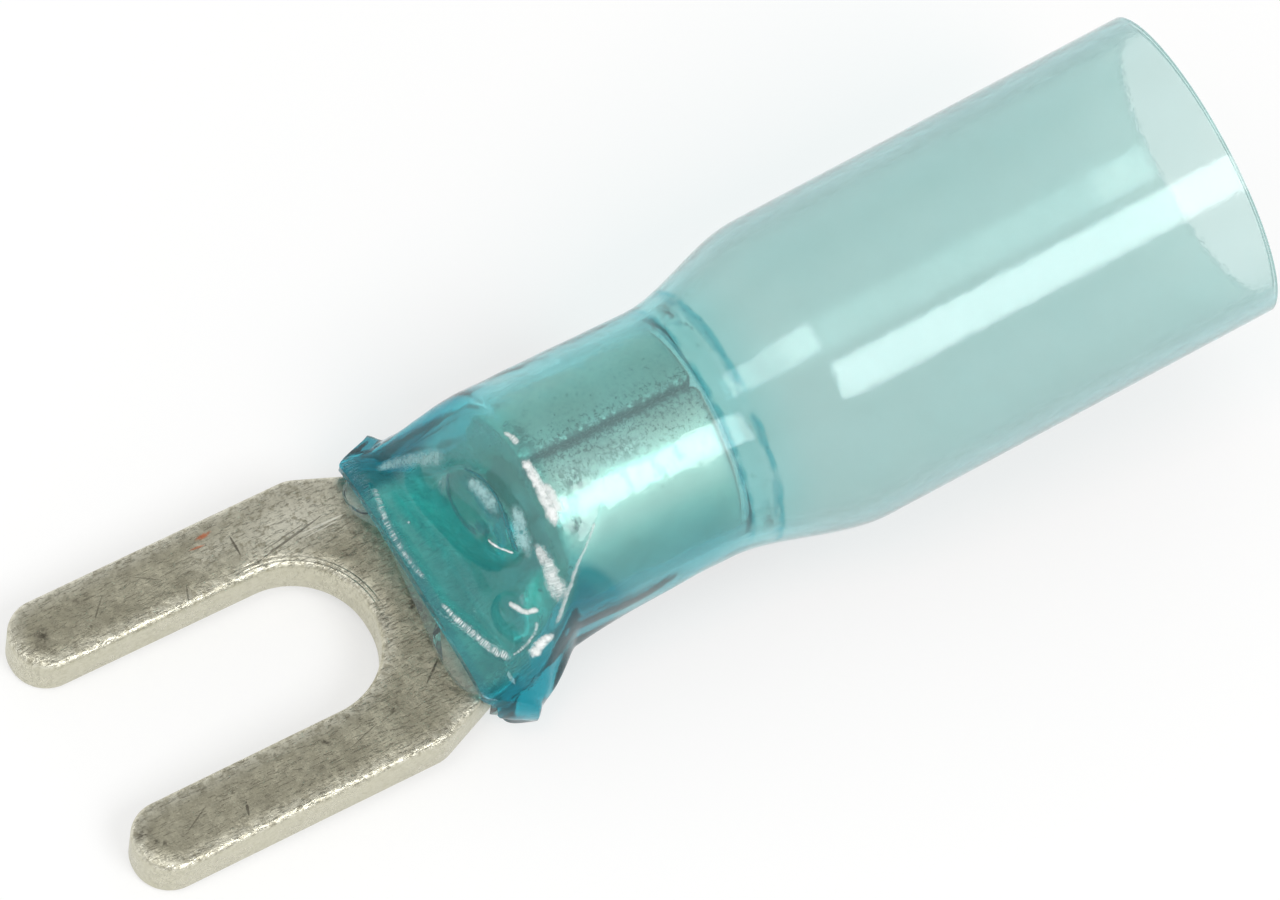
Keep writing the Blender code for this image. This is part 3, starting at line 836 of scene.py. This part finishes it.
# Painted highlight: over the barrel's bright side the skin is painted almost clear, so that the
# lamps' reflection in the metal shows white. The skin is gathered along the lining's roll.
# The painted highlight band, and the zone beside it that it lightens.
painted_highlight_band = n.times(n.step(y, 0.15, -0.75), n.step(y, -2.0, -1.65))
painted_highlight_band = n.times(painted_highlight_band, n.step(x, 4.5, 4.9), n.step(x, 8.3, 8.1))
tint = n.paint(tint, painted_highlight_band, 0.85, (0.97, 0.99, 0.98))
along = n.plus(x, n.times(n.minus(n.noise(place, 1.6, 3.0, 0.6), 0.5), 0.16))
gathered = n.most(line_mask(n, along, 8.27, 0.10), line_mask(n, along, 8.86, 0.09))
gathered = n.times(gathered, n.step(n.noise(place, 1.1, 2.0, 0.5), 0.34, 0.52))
tint = n.paint(tint, gathered, 0.8, (0.03, 0.50, 0.58))
join(n, tint, shader, "Base Color")
skin = n.mottle(place, 0.42, 3.0, 0.5, 0.35, 0.70)
join(n, n.plus(n.times(skin, 0.03), n.times(opened, 0.07), 0.012), shader, "Roughness")
# Fine strokes across the ridge behind the lip, from the tool that closed it, and a dull skin.
slant = n.times(n.most(n.minus(RIDGE_TURN, y), 0.0), RIDGE_SLANT)
on_ridge = line_mask(n, n.minus(x, slant), RIDGE_X, 0.20)
strokes = n.step(n.noise(place, 3.0, 2.0, 0.6, (0.5, 7.0, 0.5), 0.15), 0.42, 0.56)
hatch = n.times(on_ridge, n.step(z, 0.9, 1.2), strokes, 0.012)
add_bump(n, n.plus(n.times(n.noise(place, 5.0, 4.0, 0.6), 0.004), hatch), shader)
absorb = n.add("ShaderNodeVolumeAbsorption", (0.05, 0.75, 0.80, 1.0), 1500.0)
n.tree.links.new(absorb, n.tree.nodes["Material Output"].inputs["Volume"])
let_lamps_through(n, shader, (0.985, 0.992, 0.992, 1.0))

sleeve = grown(
    "blue_heat_shrink_sleeve",
    shell_tree("shrunk_sleeve", sleeve_outside, sleeve_bore, sleeve_blue, lumps=neck_lumps),
    {"Rings": 200, "Points round": 220, **SHELL_SIZES},
    sharp=62.0,
)
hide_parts("heat_shrink_sleeve")
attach(sleeve, "root")

# Adhesive lining: a thin coat of clear hot-melt inside the sleeve. Heat has made
# it flow: it fills the neck with glassy lumps, stands out as two beads in front of
# the lip and as a roll behind the barrel.
END_ROLL_HEIGHT = 0.16
END_ROLL_LENGTH = 0.54
LINING_TUCK = 0.1
SHORT_BEAD = (2.0, 0.45, 0.2)
LONG_BEAD = (-1.75, 0.85, 0.27)


def lining_outside(run):
    return sleeve_bore(run, CLEARANCE)


def lining_bore(run):
    lined = body_radius(run) - wall_at(run) - CLEARANCE - LINING_WALL
    radius = lined.math("MAXIMUM", BARREL_RADIUS + CLEARANCE)
    roll = ((run - BARREL_BACK - CLEARANCE) / END_ROLL_LENGTH).at_least(0.0).math("MINIMUM", 1.0)
    radius = radius - (roll * math.pi).math("SINE").at_least(0.0) ** 0.5 * END_ROLL_HEIGHT
    half_width = ease(run, EAR_X, RAMP_END, LIP_TONGUE + SIDE_FILLET, radius)
    centre = on_ramp(run, SHEET / 2, BARREL_RADIUS)
    top = on_ramp(run, SHEET + SIDE_FILLET, radius + BARREL_RADIUS)
    bottom = on_ramp(run, -CLEARANCE, BARREL_RADIUS - radius)
    return half_width, None, centre, top, bottom, on_ramp(run, BORE_BOXINESS / 2, 1.0)


def squeeze_out(run, y, rise):
    edge = y * 0.0 + LINING_TUCK
    for middle, half_length, reach in (SHORT_BEAD, LONG_BEAD):
        away = ((y - middle) / half_length).math("ABSOLUTE").math("MINIMUM", 1.0)
        edge = edge - (1.0 - away**4.0) * rise.math("GREATER_THAN", 0.0) * (reach + LINING_TUCK)
    return edge * ease(run, EAR_X, EAR_X + 0.12, 1.0, 0.0)


clear_adhesive, n, shader = new_material(
    "clear_adhesive", {"Transmission Weight": 0.94, "IOR": 1.22}
)
place = tongue_place(n)
x = n.add("ShaderNodeSeparateXYZ", place)
milky = n.mottle(place, 0.8, 4.0, 0.6, 0.40, 0.65)
milky = n.times(milky, n.step(x, BARREL_BACK, BARREL_BACK + 1.5, 1.0, 0.15))
milky = n.blend(milky, (0.93, 0.96, 0.95, 1.0), (0.84, 0.87, 0.84, 1.0))
join(n, milky, shader, "Base Color")
melt = n.noise(place, 1.5, 3.0, 0.6)
join(n, n.step(melt, 0.35, 0.7, 0.005, 0.03), shader, "Roughness")
add_bump(n, melt, shader, 0.3, 0.02 * MM)
let_lamps_through(n, shader, (0.995, 0.995, 0.995, 1.0))

lining = grown(
    "clear_adhesive_lining",
    shell_tree("melted_lining", lining_outside, lining_bore, clear_adhesive, squeeze_out),
    {"Rings": 160, "Points round": 150, **SHELL_SIZES},
)
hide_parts("adhesive_lining")
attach(lining, "root")

# Marks on the skin, partly whitening and partly painted light: where the hot sleeve was drawn over
# the lumps it has whitened in fuzzy and hatched streaks, and painted highlights lie on the ridge
# behind the lip and along the shoulder over the barrel's front rim. Pale painted light fills the
# lens lump, and painted shade darkens the foot of the lumps.
# The tones: whitening that also carries painted highlights, pale painted light, and painted shade.
WHITENED_AND_HIGHLIGHT = (0.93, 0.96, 0.95)
PALE_PAINTED_LIGHT = (0.46, 0.74, 0.75)
PAINTED_SHADE = (0.035, 0.22, 0.25)
MARK_THICKNESS = 0.012
# Each mark: tone, opacity, share of hatching, half width at both ends, and its path in the
# tongue's frame.
SKIN_MARKS_AND_PAINTED_LIGHT = (
    # Painted highlight: the lamps' reflection along the shoulder over the barrel's front rim.
    (WHITENED_AND_HIGHLIGHT, 1.0, 0.1, (0.13, 0.19), (
        (4.51, -0.02, 4.45), (4.54, -0.34, 4.46), (4.53, -0.74, 4.36), (4.53, -1.13, 4.21),
        (4.53, -1.50, 3.99),
    )),
    (WHITENED_AND_HIGHLIGHT, 0.7, 0.0, (0.20, 0.10), (
        (4.60, -0.55, 4.45), (4.66, -0.95, 4.33), (4.68, -1.35, 4.14),
    )),
    (WHITENED_AND_HIGHLIGHT, 0.75, 0.25, (0.15, 0.32), (
        (4.14, -1.26, 3.65), (4.16, -1.54, 3.56), (4.17, -1.86, 3.36), (4.19, -2.16, 3.05),
        (4.22, -2.40, 2.75),
    )),
    (WHITENED_AND_HIGHLIGHT, 0.9, 0.1, (0.08, 0.08), (
        (3.52, -1.57, 2.22), (3.56, -1.80, 2.30), (3.68, -2.03, 2.38), (3.86, -2.16, 2.61),
    )),
    # Hatched whitening along the ridge behind the lip, with the painted highlight of the lamps on
    # it.
    (WHITENED_AND_HIGHLIGHT, 0.9, 0.85, (0.07, 0.13), (
        (2.60, -0.77, 1.58), (2.69, -1.18, 1.54), (2.83, -1.58, 1.50), (2.99, -1.98, 1.44),
        (3.25, -2.42, 1.45),
    )),
    (WHITENED_AND_HIGHLIGHT, 0.45, 0.9, (0.11, 0.07), (
        (2.72, 1.99, 1.46), (2.64, 1.63, 1.54), (2.55, 1.20, 1.55), (2.51, 0.76, 1.54),
        (2.52, 0.22, 1.55), (2.58, -0.24, 1.57),
    )),
    (WHITENED_AND_HIGHLIGHT, 0.9, 0.0, (0.20, 0.13), (
        (3.43, -2.59, 1.53), (3.70, -2.54, 1.90), (4.03, -2.53, 2.19),
    )),
    (WHITENED_AND_HIGHLIGHT, 0.4, 0.0, (0.09, 0.05), (
        (4.04, -2.49, 2.33), (4.22, -2.37, 2.77), (4.42, -2.22, 3.15), (4.64, -2.06, 3.49),
        (5.05, -1.77, 3.83), (5.25, -1.60, 3.98),
    )),
    (WHITENED_AND_HIGHLIGHT, 0.95, 0.0, (0.06, 0.04), (
        (3.59, -0.60, 3.01), (3.62, -0.86, 3.10), (3.75, -1.02, 3.09), (3.83, -1.17, 3.17),
    )),
    # Painted shade along the rim and foot of the lens lump.
    (PAINTED_SHADE, 0.85, 0.0, (0.04, 0.09), (
        (3.87, 0.81, 3.15), (3.97, 0.39, 3.43), (4.00, -0.11, 3.53), (3.96, -0.53, 3.48),
        (3.86, -0.92, 3.44), (3.85, -1.25, 3.19),
    )),
    (PAINTED_SHADE, 0.5, 0.0, (0.08, 0.12), (
        (3.80, 1.10, 2.70), (3.62, 0.60, 2.60), (3.52, 0.05, 2.62), (3.55, -0.40, 2.80),
    )),
    # Pale painted light on and beside the lens lump.
    (PALE_PAINTED_LIGHT, 0.55, 0.2, (0.13, 0.26), (
        (2.95, 2.37, 1.33), (3.36, 2.08, 1.66), (3.64, 1.56, 2.47), (3.82, 1.26, 2.95),
    )),
    (PALE_PAINTED_LIGHT, 0.65, 0.8, (0.26, 0.34), ((3.57, 1.34, 2.42), (3.57, 0.99, 2.54), (3.54, 0.57, 2.72))),
    (WHITENED_AND_HIGHLIGHT, 0.8, 0.9, (0.06, 0.04), (
        (3.77, -2.25, 2.36), (3.69, -2.35, 2.12), (3.55, -2.37, 1.87), (3.40, -2.36, 1.65),
        (3.25, -2.34, 1.50),
    )),
    (WHITENED_AND_HIGHLIGHT, 1.0, 0.0, (0.07, 0.06), ((2.87, 1.01, 1.50), (2.96, 0.94, 1.49))),
    (PALE_PAINTED_LIGHT, 0.75, 0.1, (0.20, 0.30), (
        (4.11, -0.44, 3.80), (4.08, -0.84, 3.70), (4.01, -1.23, 3.43), (3.95, -1.47, 3.20),
    )),
    (PALE_PAINTED_LIGHT, 0.7, 0.0, (0.12, 0.30), (
        (3.83, 0.62, 3.10), (3.87, 0.19, 3.33), (3.91, -0.18, 3.41), (3.88, -0.52, 3.41),
    )),
    (WHITENED_AND_HIGHLIGHT, 0.85, 0.4, (0.05, 0.11), (
        (4.52, 0.62, 4.36), (4.58, 0.40, 4.45), (4.60, 0.15, 4.49),
    )),
    (PAINTED_SHADE, 0.6, 0.0, (0.18, 0.24), (
        (3.55, -0.06, 2.84), (3.62, -0.37, 2.99), (3.67, -0.69, 3.25),
    )),
    (PALE_PAINTED_LIGHT, 0.6, 0.4, (0.22, 0.26), ((3.68, -1.57, 2.48), (3.72, -1.83, 2.50), (3.78, -2.00, 2.57))),
)


def smooth_path(corners, spacing=0.035):
    """Evenly stepped points on a smooth curve through these corners, each with its run so far."""
    corners = [Vector(corner) for corner in corners]
    guided = [corners[0] * 2 - corners[1], *corners, corners[-1] * 2 - corners[-2]]
    points = []
    for before, start, end, after in zip(guided, guided[1:], guided[2:], guided[3:]):
        steps = max(2, math.ceil((end - start).length / spacing))
        for step in range(steps):
            t = step / steps
            points.append(0.5 * (
                start * 2
                + (end - before) * t
                + (before * 2 - start * 5 + end * 4 - after) * t * t
                + (start * 3 - before - end * 3 + after) * t**3
            ))
    points.append(corners[-1])
    along = [0.0]
    for start, end in zip(points, points[1:]):
        along.append(along[-1] + (end - start).length)
    return points, along


flat_skin = sleeve.data.copy()
flat_skin.transform(LAID_DOWN.inverted())
skin_points = [vert.co for vert in flat_skin.vertices]
skin_tree = BVHTree.FromPolygons(skin_points, [face.vertices for face in flat_skin.polygons])
bpy.data.meshes.remove(flat_skin)
across = np.linspace(-1, 1, 9)
mark_points, mark_faces, veils, tones, stroke_places, hatchings = [], [], [], [], [], []
for number, (tone, opacity, hatching, widths, corners) in enumerate(SKIN_MARKS_AND_PAINTED_LIGHT):
    first_width, last_width = widths
    path, along = smooth_path(corners)
    base = len(mark_points)
    count = 2 * len(across) - 2
    for step, point in enumerate(path):
        ahead = (path[min(step + 1, len(path) - 1)] - path[max(step - 1, 0)]).normalized()
        centre, normal = skin_tree.find_nearest(point)[:2]
        side = normal.cross(ahead).normalized()
        half_width = first_width + (last_width - first_width) * along[step] / along[-1]
        from_end = min(along[step], along[-1] - along[step]) / half_width
        width = half_width * min(1.0, max(0.03, from_end / 1.2)) ** 0.5
        ring = [(u, 1.0) for u in across] + [(u, -1.0) for u in across[-2:0:-1]]
        for u, up in ring:
            skin, outward = skin_tree.find_nearest(centre + side * (u * width))[:2]
            thickness = MARK_THICKNESS * math.sqrt(max(0.0, 1 - u * u))
            mark_points.append(skin + outward * (up * thickness))
            veils.append((1 - abs(u) ** 1.6) * min(1.0, from_end / 1.4))
            tones.append((*tone, opacity))
            stroke_places.append((along[step], u * width, number * 3.7))
            hatchings.append(hatching)
    for step in range(len(path) - 1):
        for here in range(count):
            start = base + step * count
            following = (here + 1) % count
            mark_faces.append((
                start + here, start + following, start + count + following, start + count + here
            ))
    last = base + (len(path) - 1) * count
    mark_faces.append(tuple(reversed(range(base, base + count))))
    mark_faces.append(tuple(range(last, last + count)))

marks_mesh = bpy.data.meshes.new("skin_marks_and_painted_light")
marks_mesh.from_pydata(mark_points, [], mark_faces)
marks_mesh.transform(LAID_DOWN)
for name, kind, field, values in (
    ("veil", "FLOAT", "value", veils),
    ("hatching", "FLOAT", "value", hatchings),
    ("mark_tone", "FLOAT_COLOR", "color", tones),
    ("stroke_place", "FLOAT_VECTOR", "vector", stroke_places),
):
    layer = marks_mesh.attributes.new(name, kind, "POINT")
    layer.data.foreach_set(field, np.array(values, dtype=np.float32).ravel())
turn_faces_out(marks_mesh)
marks_mesh.shade_smooth()
skin_marks_and_painted_light = bpy.data.objects.new("skin_marks_and_painted_light", marks_mesh)
bpy.context.scene.collection.objects.link(skin_marks_and_painted_light)

# The marks' material: whitening, painted highlights, pale painted light and painted shade, each
# faded at its rim.
whitened_skin_and_painted_light, n, shader = new_material("whitened_skin_and_painted_light", {})
tone = n.add("ShaderNodeAttribute", attribute_name="mark_tone", output=0)
opacity = tone.node.outputs[3]
veil = n.add("ShaderNodeAttribute", attribute_name="veil", output=2)
hatching = n.add("ShaderNodeAttribute", attribute_name="hatching", output=2)
stroke_place = n.add("ShaderNodeAttribute", attribute_name="stroke_place", output=1)
strokes = n.step(n.noise(stroke_place, 1.0, 3.0, 0.6, (34.0, 3.0, 1.0)), 0.42, 0.62)
ragged = n.times(n.minus(n.noise(stroke_place, 7.0, 6.0, 0.75), 0.5), 1.8)
body = n.step(n.plus(veil, ragged), 0.20, 1.15)
clouding = n.mottle(stroke_place, 6.0, 4.0, 0.6, 0.30, 0.52)
kept = n.plus(n.minus(1.0, hatching), n.times(hatching, strokes))
kept = n.times(kept, n.step(clouding, 0.0, 1.0, 0.65, 1.0), body, n.step(veil, 0.0, 0.25))
join(n, tone, shader, "Base Color")
join(n, n.math("MULTIPLY", kept, opacity, clamp=True), shader, "Alpha")
join(n, n.step(clouding, 0.0, 1.0, 0.45, 0.25), shader, "Roughness")
marks_mesh.materials.append(whitened_skin_and_painted_light)
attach(skin_marks_and_painted_light, "root")

# Bubbles: the melted adhesive boiled as it flowed, so small bubbles are caught in it at
# the neck and in the roll behind the barrel.
bubbles = bpy.data.node_groups.new("caught_bubbles", "GeometryNodeTree")
BUBBLE_SIZES = {"Density": 9.0e6, "Smallest": 0.012 * MM, "Largest": 0.036 * MM, "Seed": 7}
bubbles.interface.new_socket(name="Geometry", in_out="INPUT", socket_type="NodeSocketGeometry")
for title in BUBBLE_SIZES:
    kind = "NodeSocketInt" if title == "Seed" else "NodeSocketFloat"
    bubbles.interface.new_socket(name=title, in_out="INPUT", socket_type=kind)
bubbles.interface.new_socket(name="Geometry", in_out="OUTPUT", socket_type="NodeSocketGeometry")
bubble_skin, n, shader = new_material(
    "bubble_white", {"Roughness": 0.05, "Transmission Weight": 0.9, "IOR": 1.3}
)
bubble_tone = n.mottle(tongue_place(n), 9.0, 2.0, 0.5, 0.4, 0.6)
bubble_tone = n.blend(bubble_tone, (0.93, 0.96, 0.95, 1.0), (0.72, 0.84, 0.83, 1.0))
join(n, bubble_tone, shader, "Base Color")
Field.tree = bubbles
given = {socket.name: Field(socket) for socket in bubbles.nodes.new("NodeGroupInput").outputs}
where = Field.made("ShaderNodeSeparateXYZ", Field.made("GeometryNodeInputPosition"))
height = Field(where.socket.node.outputs[2])
roll_x = (BARREL_BACK + REST_SHIFT.x / MM) * MM
lip_x = (LIP_X + 0.9 + REST_SHIFT.x / MM) * MM
in_roll = where.math("GREATER_THAN", roll_x + 0.08 * MM)
in_roll = in_roll * where.math("LESS_THAN", roll_x + 0.6 * MM)
in_neck = where.math("GREATER_THAN", lip_x) * where.math("LESS_THAN", lip_x + 1.3 * MM)
chosen = ((in_roll + in_neck * 0.08) * height.math("GREATER_THAN", 1.7 * MM)).math("MINIMUM", 1.0)
spread = Field.made(
    "GeometryNodeDistributePointsOnFaces",
    given["Geometry"], None, None, None, given["Density"] * chosen, None, given["Seed"],
    distribute_method="RANDOM",
)
ball = Field.made("GeometryNodeMeshIcoSphere", 1.0, 2)
size = Field.made(
    "FunctionNodeRandomValue", None, None, given["Smallest"], given["Largest"], output=1
)
placed = Field.made("GeometryNodeInstanceOnPoints", spread, None, ball, None, None, None, size)
painted = Field.made("GeometryNodeSetMaterial", Field.made("GeometryNodeRealizeInstances", placed))
painted.socket.node.inputs["Material"].default_value = bubble_skin
bubbles.links.new(painted.socket, bubbles.nodes.new("NodeGroupOutput").inputs[0])
caught_bubbles = grown("caught_bubbles", bubbles, BUBBLE_SIZES, on=lining.data)
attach(caught_bubbles, "root")

# The studio: a pale floor, a soft sky, a broad softbox in front and another overhead,
# and a camera that looks down on the terminal with a long lens.
VIEW_RIGHT = Vector((0.8627, -0.4994, 0.0796))
VIEW_UP = Vector((0.4143, 0.7882, 0.4551))
VIEW_BACK = Vector((-0.2901, -0.3597, 0.8869))
PICTURE = (1280, 900)
PIXELS_PER_MM = 53.8
SLOT_PIXEL = (296.0, 642.5)
LENS = 420.0
FILM_WIDTH = 36.0
LAMP_DISTANCE = 0.30
FLOOR_REACH = 1.0
FLOOR_LIFT = 0.55

laid_turn = Matrix.Rotation(REST_TILT, 3, "Y")
right = (laid_turn @ VIEW_RIGHT).normalized()
back = (laid_turn @ VIEW_BACK).normalized()
up = back.cross(right)
slot_centre = LAID_DOWN @ Vector((0.0, 0.0, SHEET))
across = (PICTURE[0] / 2 - SLOT_PIXEL[0]) / PIXELS_PER_MM * MM
above = (SLOT_PIXEL[1] - PICTURE[1] / 2) / PIXELS_PER_MM * MM
target = slot_centre + right * across + up * above
frame_width = PICTURE[0] / PIXELS_PER_MM * MM

lens = bpy.data.cameras.new("long_lens")
lens.lens = LENS
lens.sensor_width = FILM_WIDTH
lens.clip_start = 0.001
lens.clip_end = 10.0
camera = bpy.data.objects.new("camera", lens)
camera.matrix_world = Matrix((
    (right.x, up.x, back.x, 0.0),
    (right.y, up.y, back.y, 0.0),
    (right.z, up.z, back.z, 0.0),
    (0.0, 0.0, 0.0, 1.0),
))
camera.location = target + back * (frame_width * LENS / FILM_WIDTH)
bpy.context.scene.collection.objects.link(camera)
bpy.context.scene.camera = camera


def softbox(name, towards, size, radiance):
    """A soft rectangular lamp that faces the terminal from this side, one edge along the tube."""
    lamp = bpy.data.lights.new(name, "AREA")
    lamp.shape = "RECTANGLE"
    lamp.size, lamp.size_y = size
    lamp.energy = radiance * math.pi * size[0] * size[1]
    holder = bpy.data.objects.new(name, lamp)
    away = (laid_turn @ Vector(towards)).normalized()
    along = (Vector((1.0, 0.0, 0.0)) - away * away.x).normalized()
    turn = Matrix((along, away.cross(along), away)).transposed()
    place = Matrix.Translation(target + away * LAMP_DISTANCE)
    holder.matrix_world = place @ turn.to_4x4()
    bpy.context.scene.collection.objects.link(holder)


softbox("front_softbox", (0.115, -0.63, 0.77), (0.14, 0.14), 5.3)
softbox("top_softbox", (-0.33, -0.05, 0.94), (0.13, 0.11), 3.0)

world = bpy.data.worlds.new("soft_sky")
bpy.context.scene.world = world
world.use_nodes = True
n = Nodes(world.node_tree)
background = world.node_tree.nodes["Background"]
sky = n.add("ShaderNodeTexCoord", output=0)
height = n.add("ShaderNodeSeparateXYZ", sky, output=2)
tone = n.blend(n.step(height, 0.10, 0.62), (1.0, 1.0, 1.0, 1.0), (0.56, 0.56, 0.55, 1.0))
n.tree.links.new(tone, background.inputs["Color"])
background.inputs["Strength"].default_value = 1.05

floor_mesh = bpy.data.meshes.new("pale_floor")
corners = [(x * FLOOR_REACH, y * FLOOR_REACH, 0) for x, y in ((-1, -1), (1, -1), (1, 1), (-1, 1))]
floor_mesh.from_pydata(corners, [], [(0, 1, 2, 3)])
pale_floor = bpy.data.objects.new("pale_floor", floor_mesh)
bpy.context.scene.collection.objects.link(pale_floor)
paper, n, shader = new_material(
    "pale_floor",
    {"Base Color": (1.0, 1.0, 1.0, 1.0), "Roughness": 0.9, "Specular IOR Level": 0.0},
)
# Seen directly, in the metal or through the plastic, the paper is lifted half way to white.
white = n.add("ShaderNodeEmission", (1.0, 1.0, 1.0, 1.0), 1.0)
path = n.tree.nodes.new("ShaderNodeLightPath").outputs
seen = n.most(path["Is Camera Ray"], path["Is Glossy Ray"], path["Is Transmission Ray"])
lifted = n.add("ShaderNodeMixShader", n.times(seen, FLOOR_LIFT), shader.outputs[0], white)
n.tree.links.new(lifted, n.tree.nodes["Material Output"].inputs["Surface"])
floor_mesh.materials.append(paper)

# The sleeve's tinted shadow already carries the light that falls through it to the floor.
bpy.context.scene.cycles.caustics_refractive = False
bpy.context.scene.view_settings.view_transform = "Standard"
